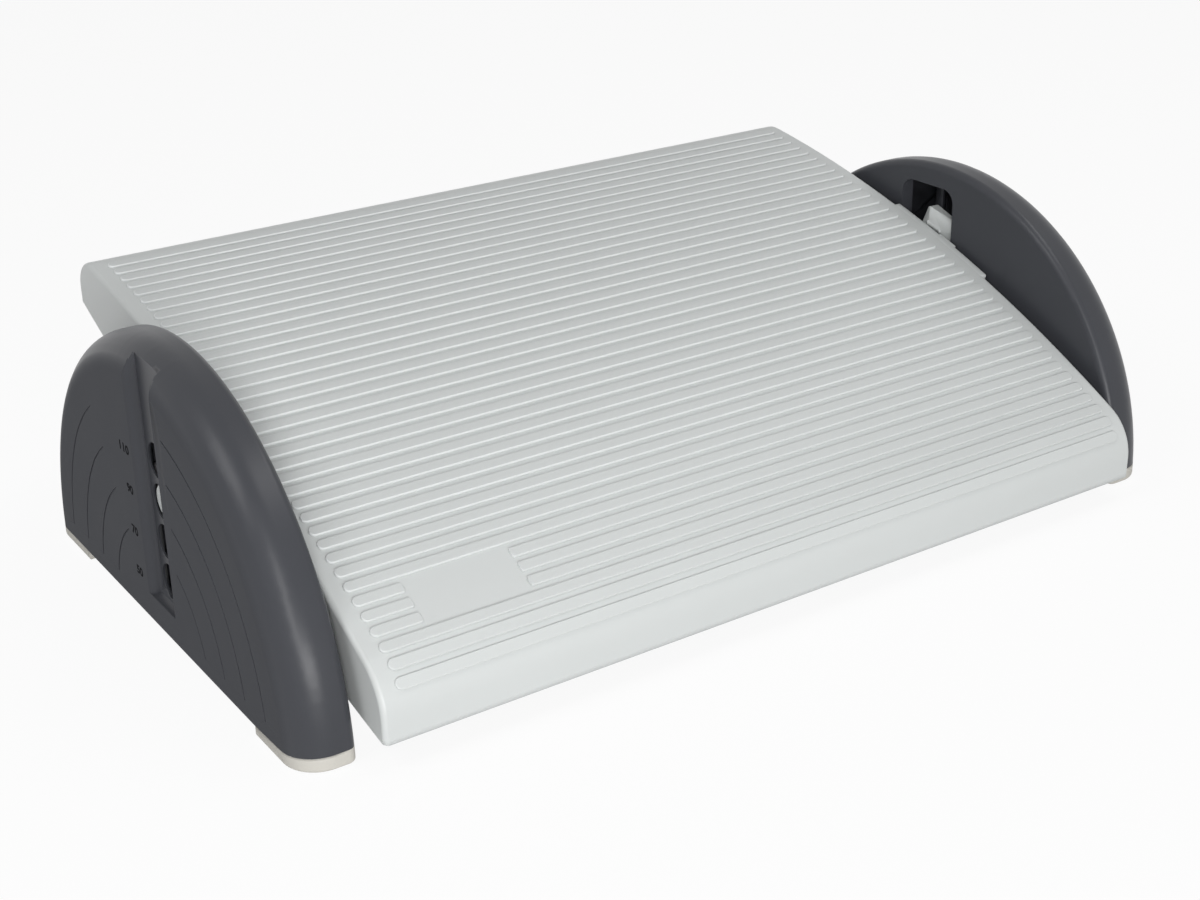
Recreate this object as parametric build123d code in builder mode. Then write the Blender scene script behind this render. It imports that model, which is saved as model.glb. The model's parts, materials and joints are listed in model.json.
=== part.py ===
"""Footrest with a crowned, ribbed tread plate that tilts and is set in height between two half-round side panels.

Millimetres. +X is to the right, -Y is the user's side, +Z is up. Pieces are drawn about the panels' centre line
and then moved, so that the origin lies on the floor, midway between the panels and between the plate's front and
rear edges. Both sides are mirror images, so each side piece is made for the right and mirrored to the left.
"""

from build123d import *
from math import asin, atan2, cos, degrees, hypot, radians, sin, sqrt, tan
import os

# Tread plate
plate_width = 436.0
front_reach = 157.0
rear_reach = 152.0
plate_wall = 3.0
plate_tilt = 18.5
tread_rise = 34.0
crown_radius = 830.0
nose_radius = 27.0
rear_radius = 16.0
edge_radius = 2.5
least_round = 1.0
front_wall_height = 10.4
rear_wall_height = 6.25
skirt_mid_drop = 15.5
web_thickness = 2.0
web_depth = 13.0
web_pitch_across = 71.0
web_pitch_along = 62.0
web_clear_radius = 34.0

# Tread ribs and the bare pad between them
rib_pitch = 8.165
rib_width = 5.3
rib_offset = 1.0
rib_height = 1.0
rib_root = 0.6
rib_margin = 8.2
rib_end_clearance = 1.0
ribs_to_front = 18
pad_rib_first = -16
pad_rib_last = -14
pad_centre = -160.0
pad_length = 52.0

# Side lugs on the plate
lug_length = 75.5
lug_offset = 5.75
lug_proud = 2.2
shelf_proud = 1.8
shelf_length = 13.0
shelf_offset = 2.5
shelf_thickness = 4.0

# Side panels
side_gap = 5.0
panel_radius = 142.5
panel_thickness = 26.5
panel_wall = 2.2
outer_rounding = 16.5
inner_rounding = 4.0
cover_depth = 8.0
underside_height = 5.3

# Feet
front_foot_length = 42.0
rear_foot_length = 48.0
front_foot_rise = 7.3
foot_rounding = 1.8
peg_radius = 3.0
peg_height = 5.0
peg_setback = 24.0
peg_clearance = 0.1

# Height holes and the finger groove round them
pivot_setback = -4.0
hole_count = 4
hole_pitch = 20.0
lowest_hole = 30.0
hole_radius = 8.5
rest_hole = 2
groove_depth = 5.2
groove_floor_wall = 2.2
groove_front_reach = 15.3
groove_rear_reach = 16.5
groove_shoulder = 6.0
groove_rear_slope = 80.0
groove_draft = 0.4
groove_end_margin = 11.0
groove_scoop = 4.8
hole_land = 0.8
relief_clearance = 1.0
pocket_margin = 2.5

# Engraved arches on the outer faces
arch_radii = (53.0, 73.0, 93.0, 113.0)
arch_width = 1.0
arch_depth = 0.4
arch_foot_height = 14.0
arch_rear_limit = 57.0
arch_groove_margin = 8.7

# Slot in each inner cover
slot_front_reach = 8.6
slot_rear_reach = 32.0
slot_top_margin = 12.5
slot_bottom_margin = 16.0
slot_corner = 8.0
slot_wall = 1.8

# Guide channel and guide shoe
shoe_width = 28.0
shoe_height = 28.0
shoe_thickness = 4.0
shoe_clearance = 0.3
guide_wall = 2.7
lip_reach = 3.0
lip_thickness = 2.5
guide_top_margin = 14.0

# Cover screws
screw_radius = 1.5
screw_length = 14.0
screw_head_radius = 2.8
screw_head_height = 1.4
screw_clearance = 0.05
boss_radius = 4.0
cover_screw_places = ((-92.0, 32.0), (92.0, 32.0), (55.0, 92.0))

# Lock pin, release lever and spring
pin_radius = 7.8
pin_clearance = 0.05
pin_end_gap = 0.2
pin_chamfer = 0.7
lock_travel = 3.0
lever_gap = 0.8
lever_hub_radius = 11.0
lever_tab_top = 40.5
lever_tab_front = -6.0
lever_tab_rear = 27.0
lever_heel_rear = 29.0
lever_heel_height = 19.0
lever_corner = 2.0
ridge_length = 12.0
ridge_width = 2.0
ridge_proud = 1.2
ridge_drop = 9.0
ridge_setback = 2.4
lever_stop_gap = 0.5
lever_bore_clearance = 0.02
collar_radius = 9.3
collar_thickness = 3.0
collar_gap = 0.3
spring_wire = 1.5
spring_turns = 5
spring_gap = 0.3

# Bearing block screwed inside the plate's side wall
bearing_length = 44.0
bearing_radius = 13.0
bearing_land = 8.0
pocket_radius = 9.6
flange_thickness = 3.0
flange_length = 46.0
flange_width = 30.0
flange_screw_spacing = 36.0
flange_screw_length = 8.5
pan_head_radius = 2.8
pan_head_height = 2.0
cap_thickness = 3.0
cap_plug = 2.0
cap_clearance = 0.05

# Places worked out from the sizes above
half_plate = plate_width / 2
frame_shift = (front_reach - rear_reach) / 2
panel_inner = half_plate + side_gap
panel_outer = panel_inner + panel_thickness
parting = panel_inner + cover_depth
panel_middle = (panel_inner + panel_outer) / 2
pivot_height = lowest_hole + rest_hole * hole_pitch
pivot = (pivot_setback, pivot_height)
groove_floor = panel_outer - groove_depth
land_inner = groove_floor - hole_land
pocket_inner = groove_floor - groove_floor_wall
shoe_outer = pocket_inner - shoe_clearance
shoe_inner = shoe_outer - shoe_thickness
lip_inner = shoe_inner - shoe_clearance - lip_thickness
pin_end = land_inner - pin_end_gap
lever_inner = panel_inner + panel_wall + lever_gap
lever_outer = lip_inner - lock_travel - lever_stop_gap
bearing_outer = half_plate - plate_wall
bearing_inner = bearing_outer - bearing_length
pocket_step = bearing_outer - bearing_land
collar_outer = pocket_step - lock_travel - collar_gap
collar_inner = collar_outer - collar_thickness
slot_front = pivot_setback - slot_front_reach
slot_rear = pivot_setback + slot_rear_reach
slot_bottom = lowest_hole - slot_bottom_margin
slot_top = panel_radius - slot_top_margin

# Directions of the tilted plate, and the crown's centre, in the side view (Y, Z)
along = (cos(radians(plate_tilt)), sin(radians(plate_tilt)))
above = (-along[1], along[0])
crown_centre = (
    pivot[0] + (tread_rise - crown_radius) * above[0],
    pivot[1] + (tread_rise - crown_radius) * above[1],
)


def in_plate(u, v):
    """Side-view point at u along the plate's slope and v above it, counted from the pivot."""
    return (pivot[0] + u * along[0] + v * above[0], pivot[1] + u * along[1] + v * above[1])


def round_centre(reach, radius, inset, side):
    """Centre of the round that joins the crown to the front (side -1) or rear (side 1) wall."""
    y = side * (reach - radius)
    crown = crown_radius - inset - radius
    return (y, crown_centre[1] + sqrt(crown**2 - (y - crown_centre[0]) ** 2))


def from_centre(centre, direction, radius):
    """Point at a distance from a centre towards a direction."""
    size = hypot(*direction)
    return (centre[0] + direction[0] / size * radius, centre[1] + direction[1] / size * radius)


def tread_line(inset=0.0):
    """Front wall, nose, crown, rear round and rear wall of the plate, set in by a wall thickness.

    Returns the lower ends of the front and the rear wall.
    """
    front_end = front_reach - inset
    rear_end = rear_reach - inset
    crown = crown_radius - inset
    nose = max(nose_radius - inset, least_round)
    rear = max(rear_radius - inset, least_round)
    nose_centre = round_centre(front_end, nose, inset, -1)
    rear_centre = round_centre(rear_end, rear, inset, 1)
    nose_up = (nose_centre[0] - crown_centre[0], nose_centre[1] - crown_centre[1])
    rear_up = (rear_centre[0] - crown_centre[0], rear_centre[1] - crown_centre[1])
    nose_start = from_centre(crown_centre, nose_up, crown)
    rear_start = from_centre(crown_centre, rear_up, crown)
    nose_angle = (atan2(nose_up[1], nose_up[0]) + radians(180)) / 2
    rear_angle = atan2(rear_up[1], rear_up[0]) / 2
    nose_middle = from_centre(nose_centre, (cos(nose_angle), sin(nose_angle)), nose)
    rear_middle = from_centre(rear_centre, (cos(rear_angle), sin(rear_angle)), rear)
    front_low = (-front_end, nose_centre[1] - front_wall_height)
    rear_low = (rear_end, rear_centre[1] - rear_wall_height)
    Line(front_low, (-front_end, nose_centre[1]))
    ThreePointArc((-front_end, nose_centre[1]), nose_middle, nose_start)
    ThreePointArc(nose_start, in_plate(0, tread_rise - inset), rear_start)
    ThreePointArc(rear_start, rear_middle, (rear_end, rear_centre[1]))
    Line((rear_end, rear_centre[1]), rear_low)
    return front_low, rear_low


def tread_frame(distance):
    """Plane on the tread surface, at a distance along it from above the pivot, positive to the rear."""
    nose_centre = round_centre(front_reach, nose_radius, 0, -1)
    lean = radians(90) - atan2(nose_centre[1] - crown_centre[1], nose_centre[0] - crown_centre[0])
    nose_distance = crown_radius * (lean + radians(plate_tilt))
    if distance >= nose_distance:
        slope = radians(plate_tilt) - distance / crown_radius
        centre, radius = crown_centre, crown_radius
    else:
        slope = -lean + (nose_distance - distance) / nose_radius
        centre, radius = nose_centre, nose_radius
    normal = (0, -sin(slope), cos(slope))
    origin = (0, centre[0] + radius * normal[1], centre[1] + radius * normal[2])
    return Plane(origin=origin, x_dir=(1, 0, 0), z_dir=normal)


def make_plate_body():
    """Crowned plate with its skirt, hollow and open below."""
    with BuildPart() as plate_body:
        with BuildSketch(Plane.YZ):
            with BuildLine():
                front_low, rear_low = tread_line()
                ThreePointArc(rear_low, in_plate(0, -skirt_mid_drop), front_low)
            make_face()
        extrude(amount=half_plate, both=True)
        chord_slope = (rear_low[1] - front_low[1]) / (rear_low[0] - front_low[0])
        side_edges = plate_body.faces().filter_by(Axis.X).edges()
        rounded = side_edges.filter_by(
            lambda edge: (edge @ 0.5).Z > front_low[1] + chord_slope * ((edge @ 0.5).Y - front_low[0])
        )
        fillet(rounded, edge_radius)
    return plate_body.part


def make_hollow(inset, half_width):
    """Space under the tread, set in from the plate's outside and open far below its skirt."""
    with BuildPart() as hollow:
        with BuildSketch(Plane.YZ):
            with BuildLine():
                front_low, rear_low = tread_line(inset)
                floor_level = front_low[1] - front_reach
                Polyline(rear_low, (rear_low[0], floor_level), (front_low[0], floor_level), front_low)
            make_face()
        extrude(amount=half_width, both=True)
    return hollow.part


def make_webs():
    """Crossed stiffening webs moulded under the tread, cut back round the bearing blocks."""
    inside = half_plate - plate_wall
    across = int(inside / web_pitch_across)
    along_count = int((min(front_reach, rear_reach) - plate_wall) / web_pitch_along)
    grid_size = 2 * (front_reach + rear_reach)
    with BuildPart() as grid:
        with GridLocations(web_pitch_across, 1, 2 * across + 1, 1):
            Box(web_thickness, grid_size, grid_size)
        with GridLocations(1, web_pitch_along, 1, 2 * along_count + 1):
            Box(2 * inside, web_thickness, grid_size)
    with BuildPart() as webs:
        add(make_hollow(plate_wall, inside))
        add(make_hollow(plate_wall + web_depth, plate_width), mode=Mode.SUBTRACT)
        add(grid.part, mode=Mode.INTERSECT)
        add(make_plate_body(), mode=Mode.INTERSECT)
        for side in (-1, 1):
            with BuildSketch(Plane.YZ.offset(side * half_plate)):
                with Locations(pivot):
                    Circle(web_clear_radius)
            extrude(amount=-side * (bearing_length + plate_wall + cap_thickness + 2), mode=Mode.SUBTRACT)
    return webs.part


def crown_end():
    """Distance along the tread from above the pivot to where the crown meets the rear round."""
    rear_centre = round_centre(rear_reach, rear_radius, 0, 1)
    lean = radians(90) - atan2(rear_centre[1] - crown_centre[1], rear_centre[0] - crown_centre[0])
    return crown_radius * (lean + radians(plate_tilt))


def make_ribs():
    """Round-ended ribs across the tread, those beside the pad in two lengths."""
    rib_length = plate_width - 2 * rib_margin
    ribs_to_rear = int((crown_end() - rib_offset - rib_width / 2 - rib_end_clearance) / rib_pitch)
    with BuildPart() as ribs:
        for number in range(-ribs_to_front, ribs_to_rear + 1):
            with BuildSketch(tread_frame(number * rib_pitch + rib_offset).offset(-rib_root)):
                SlotOverall(rib_length, rib_width)
                if pad_rib_first <= number <= pad_rib_last:
                    with Locations((pad_centre, 0)):
                        Rectangle(pad_length, 2 * rib_width, mode=Mode.SUBTRACT)
            extrude(amount=rib_root + rib_height)
    return ribs.part


def make_lug():
    """Right side lug: the plate thickened round its pivot, with a small shelf at the top."""
    with BuildPart() as lug:
        with BuildSketch(Plane.YZ.offset(half_plate - plate_wall)):
            with BuildLine():
                front_low, rear_low = tread_line()
                ThreePointArc(rear_low, in_plate(0, -skirt_mid_drop), front_low)
            make_face()
            with Locations(in_plate(lug_offset, 0)):
                Rectangle(lug_length, 2 * plate_width, rotation=plate_tilt, mode=Mode.INTERSECT)
        extrude(amount=plate_wall + lug_proud)
        with BuildSketch(Plane.YZ.offset(half_plate + lug_proud)):
            with Locations(in_plate(shelf_offset, tread_rise - shelf_thickness / 2)):
                Rectangle(shelf_length, shelf_thickness, rotation=plate_tilt)
        extrude(amount=shelf_proud)
        with BuildSketch(Plane.YZ.offset(half_plate + lug_proud)):
            with Locations(pivot):
                Circle(pin_radius + peg_clearance)
        extrude(amount=-lug_proud - plate_wall, mode=Mode.SUBTRACT)
    return lug.part


def make_foot_plate():
    """Tread plate in one moulding, with its ribs, webs, side lugs and the holes for the pins and screws."""
    with BuildPart() as foot_plate:
        add(make_plate_body())
        add(make_ribs())
        lug = make_lug()
        add(lug)
        mirror(lug, about=Plane.YZ)
        add(make_hollow(plate_wall, half_plate - plate_wall), mode=Mode.SUBTRACT)
        add(make_webs())
        with BuildSketch(Plane.YZ):
            with Locations(pivot):
                Circle(pin_radius + peg_clearance)
        extrude(amount=half_plate + lug_proud, both=True, mode=Mode.SUBTRACT)
        with BuildSketch(Plane.YZ):
            with Locations(*flange_screw_points()):
                Circle(screw_radius + screw_clearance)
        extrude(amount=bearing_outer - flange_thickness + flange_screw_length, both=True, mode=Mode.SUBTRACT)
    return foot_plate.part


def flange_screw_points():
    """Side-view places of the two screws that hold a bearing block."""
    return in_plate(-flange_screw_spacing / 2, 0), in_plate(flange_screw_spacing / 2, 0)


def make_panel_block(inset, low_x, high_x):
    """Half-round block of revolution between two faces, with its rim rounded, set in by a wall."""
    radius = panel_radius - inset
    with BuildPart() as block:
        with BuildSketch(Plane.XY):
            with Locations(((low_x + high_x) / 2, radius / 2)):
                Rectangle(high_x - low_x, radius)
            rim = vertices().group_by(Axis.Y)[-1].sort_by(Axis.X)
            fillet(rim[0], inner_rounding - inset)
            fillet(vertices().group_by(Axis.X)[-1].sort_by(Axis.Y)[-1], outer_rounding - inset)
        revolve(axis=Axis.X, revolution_arc=180)
        with BuildSketch(Plane.YZ):
            with BuildLine():
                Polyline(*underside_points(inset), close=True)
            make_face()
        extrude(amount=2 * high_x, mode=Mode.SUBTRACT)
    return block.part


def underside_points(inset):
    """Side-view outline of all that lies below a panel's lower edge, which rises over the front foot."""
    beyond = 10.0
    level = underside_height + inset
    front_foot = panel_radius - front_foot_length
    slope = (front_foot_rise - underside_height) / front_foot_length
    front_level = level + slope * (front_foot_length + beyond)
    return (
        (-panel_radius - beyond, front_level),
        (-front_foot, level),
        (panel_radius + beyond, level),
        (panel_radius + beyond, -beyond),
        (-panel_radius - beyond, -beyond),
    )


def make_hollow_panel():
    """Both halves of a side panel in one, hollow inside."""
    with BuildPart() as hollow_panel:
        add(make_panel_block(0, panel_inner, panel_outer))
        cavity = make_panel_block(panel_wall, panel_inner + panel_wall, panel_outer - panel_wall)
        add(cavity, mode=Mode.SUBTRACT)
    return hollow_panel.part


def hole_heights():
    """Heights of the holes that set the plate's height."""
    return [lowest_hole + number * hole_pitch for number in range(hole_count)]


def make_channel_walls():
    """Pocket behind the finger groove, and the lipped guide ribs that the shoe slides between."""
    guide_half = shoe_width / 2 + shoe_clearance
    top = panel_radius - guide_top_margin
    height = top - underside_height
    middle = (top + underside_height) / 2
    with BuildPart() as walls:
        pocket_width = groove_front_reach + groove_rear_reach + 2 * pocket_margin
        pocket_centre = pivot_setback + (groove_rear_reach - groove_front_reach) / 2
        with Locations(((pocket_inner + panel_outer) / 2, pocket_centre, panel_radius / 2)):
            Box(panel_outer - pocket_inner, pocket_width, panel_radius)
        for side in (-1, 1):
            rib_centre = pivot_setback + side * (guide_half + guide_wall / 2)
            with Locations(((lip_inner + panel_outer) / 2, rib_centre, middle)):
                Box(panel_outer - lip_inner, guide_wall, height)
            lip_centre = pivot_setback + side * (guide_half - lip_reach / 2)
            with Locations((lip_inner + lip_thickness / 2, lip_centre, middle)):
                Box(lip_thickness, lip_reach, height)
        add(make_panel_block(0, panel_inner, panel_outer), mode=Mode.INTERSECT)
    return walls.part


def make_groove():
    """Finger groove: steep at the front, rolling up softly at the rear, scooped below and open at the rim."""
    low = lowest_hole - groove_end_margin
    front = pivot_setback - groove_front_reach
    rear = pivot_setback + groove_rear_reach
    slope = radians(groove_rear_slope)
    shoulder_centre = (panel_outer - groove_shoulder, rear)
    shoulder_middle = from_centre(shoulder_centre, (cos(slope / 2), -sin(slope / 2)), groove_shoulder)
    shoulder_end = from_centre(shoulder_centre, (cos(slope), -sin(slope)), groove_shoulder)
    floor_rear = shoulder_end[1] - (shoulder_end[0] - groove_floor) / tan(slope)
    with BuildPart() as groove:
        with BuildSketch(Plane.XY.offset(low)):
            with BuildLine():
                ThreePointArc((panel_outer, rear), shoulder_middle, shoulder_end)
                Polyline(
                    shoulder_end,
                    (groove_floor, floor_rear),
                    (groove_floor, front + groove_draft),
                    (panel_outer, front),
                    (panel_outer, rear),
                )
            make_face()
        extrude(amount=panel_radius - low)
        lower_edges = groove.edges().filter_by(Axis.Y).group_by(Axis.Z)[0]
        fillet(lower_edges.sort_by(Axis.X)[0], groove_scoop)
    return groove.part


def arch_lines():
    """Middle lines of the engraved arches, each in a rear and a front piece, in the side view."""
    front_edge = groove_front_reach - pivot_setback + arch_groove_margin
    lines = []
    for radius in arch_radii:
        foot = degrees(asin(arch_foot_height / radius))
        front_start = 90 + degrees(asin(front_edge / radius))
        for start, size in ((foot, arch_rear_limit - foot), (front_start, 180 - foot - front_start)):
            lines.append(CenterArc((0, 0), radius, start, size, mode=Mode.PRIVATE))
    return lines


def make_outer_shell():
    """Outer half of a side panel: rim, outer face with groove, holes and arches, guide channel and screw bosses."""
    engraved = arch_lines()
    with BuildPart() as outer_shell:
        add(make_hollow_panel())
        split(bisect_by=Plane.YZ.offset(parting), keep=Keep.TOP)
        add(make_channel_walls())
        add(make_groove(), mode=Mode.SUBTRACT)
        with BuildSketch(Plane.YZ.offset(panel_inner + panel_wall)):
            with Locations(*cover_screw_places):
                Circle(boss_radius)
        extrude(amount=panel_thickness - 1.5 * panel_wall)
        with BuildSketch(Plane.YZ.offset(panel_inner)):
            with Locations(*cover_screw_places):
                Circle(screw_radius + screw_clearance)
        extrude(amount=screw_length + 1, mode=Mode.SUBTRACT)
        with BuildSketch(Plane.YZ.offset(panel_outer)):
            with Locations(*[(pivot_setback, height) for height in hole_heights()]):
                Circle(hole_radius)
        extrude(amount=pocket_inner - panel_outer, mode=Mode.SUBTRACT)
        relief_width = 2 * (pin_radius + relief_clearance)
        relief_height = (hole_count - 1) * hole_pitch + relief_width
        with BuildSketch(Plane.YZ.offset(pocket_inner)):
            with Locations((pivot_setback, lowest_hole + (hole_count - 1) * hole_pitch / 2)):
                SlotOverall(relief_height, relief_width, rotation=90)
        extrude(amount=land_inner - pocket_inner, mode=Mode.SUBTRACT)
        with BuildSketch(Plane.YZ.offset(panel_outer)):
            for line in engraved:
                SlotArc(line, arch_width)
        extrude(amount=-arch_depth, mode=Mode.SUBTRACT)
        with BuildSketch(Plane.XY):
            with Locations((panel_middle, -peg_place()), (panel_middle, peg_place())):
                Circle(peg_radius + peg_clearance)
        extrude(amount=front_foot_rise + peg_height, mode=Mode.SUBTRACT)
    return outer_shell.part


def make_inner_cover():
    """Inner half of a side panel, with the upright slot for the pin, its rear wall and countersunk screw holes."""
    with BuildPart() as inner_cover:
        add(make_hollow_panel())
        split(bisect_by=Plane.YZ.offset(parting), keep=Keep.BOTTOM)
        with Locations(((panel_inner + parting) / 2, slot_rear + slot_wall / 2, (slot_bottom + slot_top) / 2)):
            Box(cover_depth, slot_wall, slot_top - slot_bottom)
        with BuildSketch(Plane.YZ.offset(panel_inner)):
            with Locations(((slot_front + slot_rear) / 2, (slot_bottom + slot_top) / 2)):
                RectangleRounded(slot_rear - slot_front, slot_top - slot_bottom, slot_corner)
        extrude(amount=panel_wall, mode=Mode.SUBTRACT)
        with Locations(*[Plane(face_origin(place), z_dir=(-1, 0, 0)) for place in cover_screw_places]):
            CounterSinkHole(
                screw_radius + 2 * screw_clearance,
                screw_head_radius + 2 * screw_clearance,
                depth=panel_wall,
            )
    return inner_cover.part


def face_origin(place):
    """Point on a panel's inner face at a side-view place."""
    return (panel_inner, place[0], place[1])


def peg_place():
    """Distance of the feet's pegs from the panels' centre line."""
    return panel_radius - peg_setback


def make_foot(side):
    """Soft foot that wraps a panel's front (side -1) or rear (side 1) lower corner, with a peg on top."""
    below = underside_points(0)
    length = front_foot_length if side < 0 else rear_foot_length
    inner_end = side * (panel_radius - length)
    outer_end = below[0][0] if side < 0 else below[2][0]
    outer_level = below[0][1] if side < 0 else below[2][1]
    peg_top = peg_height + underside_height
    if side < 0:
        peg_top += (front_foot_rise - underside_height) * (front_foot_length - peg_setback) / front_foot_length
    with BuildPart() as foot:
        with BuildSketch(Plane.XY):
            with Locations((panel_middle, panel_radius / 2)):
                Rectangle(panel_thickness, panel_radius)
            rim = vertices().group_by(Axis.Y)[-1].sort_by(Axis.X)
            fillet(rim[0], inner_rounding)
            fillet(vertices().group_by(Axis.X)[-1].sort_by(Axis.Y)[-1], outer_rounding)
        revolve(axis=Axis.X, revolution_arc=180)
        with BuildSketch(Plane.YZ.offset(panel_inner)):
            with BuildLine():
                Polyline(
                    (inner_end, 0),
                    (outer_end, 0),
                    (outer_end, outer_level),
                    (inner_end, underside_height),
                    close=True,
                )
            make_face()
        extrude(amount=panel_thickness, mode=Mode.INTERSECT)
        with BuildSketch(Plane.XY.offset(underside_height / 2)):
            with Locations((panel_middle, side * peg_place())):
                Circle(peg_radius)
        extrude(amount=peg_top - underside_height / 2)
        fillet(foot.faces().sort_by(Axis.Z)[0].edges(), foot_rounding)
    return foot.part


def make_cover_screws():
    """Countersunk screws that hold an inner cover on the bosses of its shell."""
    with BuildPart() as cover_screws:
        for y, z in cover_screw_places:
            with BuildSketch(Plane((0, y, z))):
                with BuildLine():
                    Polyline(
                        (panel_inner, 0),
                        (panel_inner, screw_head_radius),
                        (panel_inner + screw_head_height, screw_radius),
                        (panel_inner + screw_length, screw_radius),
                        (panel_inner + screw_length, 0),
                        close=True,
                    )
                make_face()
            revolve(axis=Axis((0, y, z), (1, 0, 0)))
    return cover_screws.part


def make_guide_shoe():
    """Slide plate that carries the pin up and down the channel inside a panel."""
    with BuildPart() as guide_shoe:
        with BuildSketch(Plane.YZ.offset(shoe_inner)):
            with Locations(pivot):
                RectangleRounded(shoe_width, shoe_height, lip_reach)
                Circle(pin_radius + pin_clearance, mode=Mode.SUBTRACT)
        extrude(amount=shoe_thickness)
    return guide_shoe.part


def make_lock_pin():
    """Round pin that turns in the holes, with the collar that its spring pushes."""
    with BuildPart() as lock_pin:
        with BuildSketch(Plane.YZ.offset(collar_inner)):
            with Locations(pivot):
                Circle(pin_radius)
        extrude(amount=pin_end - collar_inner)
        chamfer(lock_pin.faces().sort_by(Axis.X)[-1].edges(), pin_chamfer)
        with BuildSketch(Plane.YZ.offset(collar_inner)):
            with Locations(pivot):
                Circle(collar_radius)
        extrude(amount=collar_thickness)
    return lock_pin.part


def make_release_lever():
    """Lever on the pin, whose broad tab with a finger ridge stands up in the slot beside the tread."""
    with BuildPart() as release_lever:
        with BuildSketch(Plane.YZ.offset(lever_inner)):
            with BuildLine():
                Polyline(
                    in_plate(-lever_hub_radius, 0),
                    in_plate(lever_tab_front, lever_tab_top),
                    in_plate(lever_tab_rear, lever_tab_top),
                    in_plate(lever_heel_rear, lever_heel_height),
                    in_plate(lever_hub_radius, 0),
                    close=True,
                )
            make_face()
            with Locations(pivot):
                Circle(lever_hub_radius)
                Circle(pin_radius + lever_bore_clearance, mode=Mode.SUBTRACT)
        extrude(amount=lever_outer - lever_inner)
        tab_edges = release_lever.edges().filter_by(Axis.X).group_by(Axis.Z)[-2:]
        fillet([edge for group in tab_edges for edge in group], lever_corner)
        ridge_middle = lever_tab_rear - ridge_setback - ridge_length / 2
        with BuildSketch(Plane.YZ.offset(lever_inner)):
            with Locations(in_plate(ridge_middle, lever_tab_top - ridge_drop)):
                SlotOverall(ridge_length, ridge_width, rotation=plate_tilt)
        extrude(amount=-ridge_proud)
    return release_lever.part


def make_bearing_block():
    """Bearing tube for the pin, with a pocket for its spring and a flange screwed to the plate's side wall."""
    with BuildPart() as bearing_block:
        with BuildSketch(Plane.YZ.offset(bearing_inner)):
            with Locations(pivot):
                Circle(bearing_radius)
        extrude(amount=bearing_length)
        with BuildSketch(Plane.YZ.offset(bearing_outer - flange_thickness)):
            with Locations(pivot):
                SlotOverall(flange_length, flange_width, rotation=plate_tilt)
        extrude(amount=flange_thickness)
        with BuildSketch(Plane.YZ.offset(bearing_inner)):
            with Locations(pivot):
                Circle(pin_radius + pin_clearance)
        extrude(amount=bearing_length, mode=Mode.SUBTRACT)
        with BuildSketch(Plane.YZ.offset(bearing_inner)):
            with Locations(pivot):
                Circle(pocket_radius)
        extrude(amount=bearing_length - bearing_land, mode=Mode.SUBTRACT)
        with BuildSketch(Plane.YZ.offset(bearing_outer - flange_thickness)):
            with Locations(*flange_screw_points()):
                Circle(screw_radius + screw_clearance)
        extrude(amount=flange_thickness, mode=Mode.SUBTRACT)
    return bearing_block.part


def make_bearing_screws():
    """Pan-head screws through a bearing block's flange into the plate's side wall."""
    head_face = bearing_outer - flange_thickness
    with BuildPart() as bearing_screws:
        with BuildSketch(Plane.YZ.offset(head_face)):
            with Locations(*flange_screw_points()):
                Circle(screw_radius)
        extrude(amount=flange_screw_length)
        with BuildSketch(Plane.YZ.offset(head_face)):
            with Locations(*flange_screw_points()):
                Circle(pan_head_radius)
        extrude(amount=-pan_head_height)
    return bearing_screws.part


def make_spring_cap():
    """Cap that closes a bearing block's spring pocket."""
    with BuildPart() as spring_cap:
        with BuildSketch(Plane.YZ.offset(bearing_inner)):
            with Locations(pivot):
                Circle(bearing_radius)
        extrude(amount=-cap_thickness)
        with BuildSketch(Plane.YZ.offset(bearing_inner)):
            with Locations(pivot):
                Circle(pocket_radius - cap_clearance)
        extrude(amount=cap_plug)
    return spring_cap.part


def make_lock_spring():
    """Coil spring between the cap and the pin's collar."""
    coil_radius = pocket_radius - spring_gap - spring_wire / 2
    start = bearing_inner + cap_plug + spring_gap + spring_wire / 2
    length = collar_inner - spring_gap - spring_wire / 2 - start
    with BuildPart() as lock_spring:
        with BuildLine():
            coil = Helix(
                length / spring_turns,
                length,
                coil_radius,
                center=(start, pivot[0], pivot[1]),
                direction=(1, 0, 0),
            )
        with BuildSketch(Plane(origin=coil @ 0, z_dir=coil % 0)):
            RegularPolygon(spring_wire / 2, 6)
        sweep()
    return lock_spring.part


def export(part, name):
    """Move a finished piece into the object's frame, label it and write it to its own file."""
    placed = part.moved(Location((0, frame_shift, 0)))
    placed.label = name
    export_step(placed, f"parts/{name}.step")


side_pieces = {
    "outer_shell": make_outer_shell(),
    "inner_cover": make_inner_cover(),
    "front_foot": make_foot(-1),
    "rear_foot": make_foot(1),
    "cover_screws": make_cover_screws(),
    "guide_shoe": make_guide_shoe(),
    "bearing_block": make_bearing_block(),
    "bearing_screws": make_bearing_screws(),
    "spring_cap": make_spring_cap(),
    "lock_pin": make_lock_pin(),
    "release_lever": make_release_lever(),
    "lock_spring": make_lock_spring(),
}

os.makedirs("parts", exist_ok=True)
export(make_foot_plate(), "foot_plate")
for piece_name, piece in side_pieces.items():
    export(mirror(piece, about=Plane.YZ), f"left_{piece_name}")
    export(piece, f"right_{piece_name}")
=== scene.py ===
"""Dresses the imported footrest: a pale ribbed tread that tilts between two dark half-round side panels.

Metres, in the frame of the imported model: +X to the user's right, -Y towards the user, +Z up, floor at Z = 0.
"""

import json
import logging
import math
from dataclasses import dataclass, field
from enum import Enum
from typing import Any, Mapping, Sequence

import bmesh
import bpy
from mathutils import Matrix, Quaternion, Vector

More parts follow.
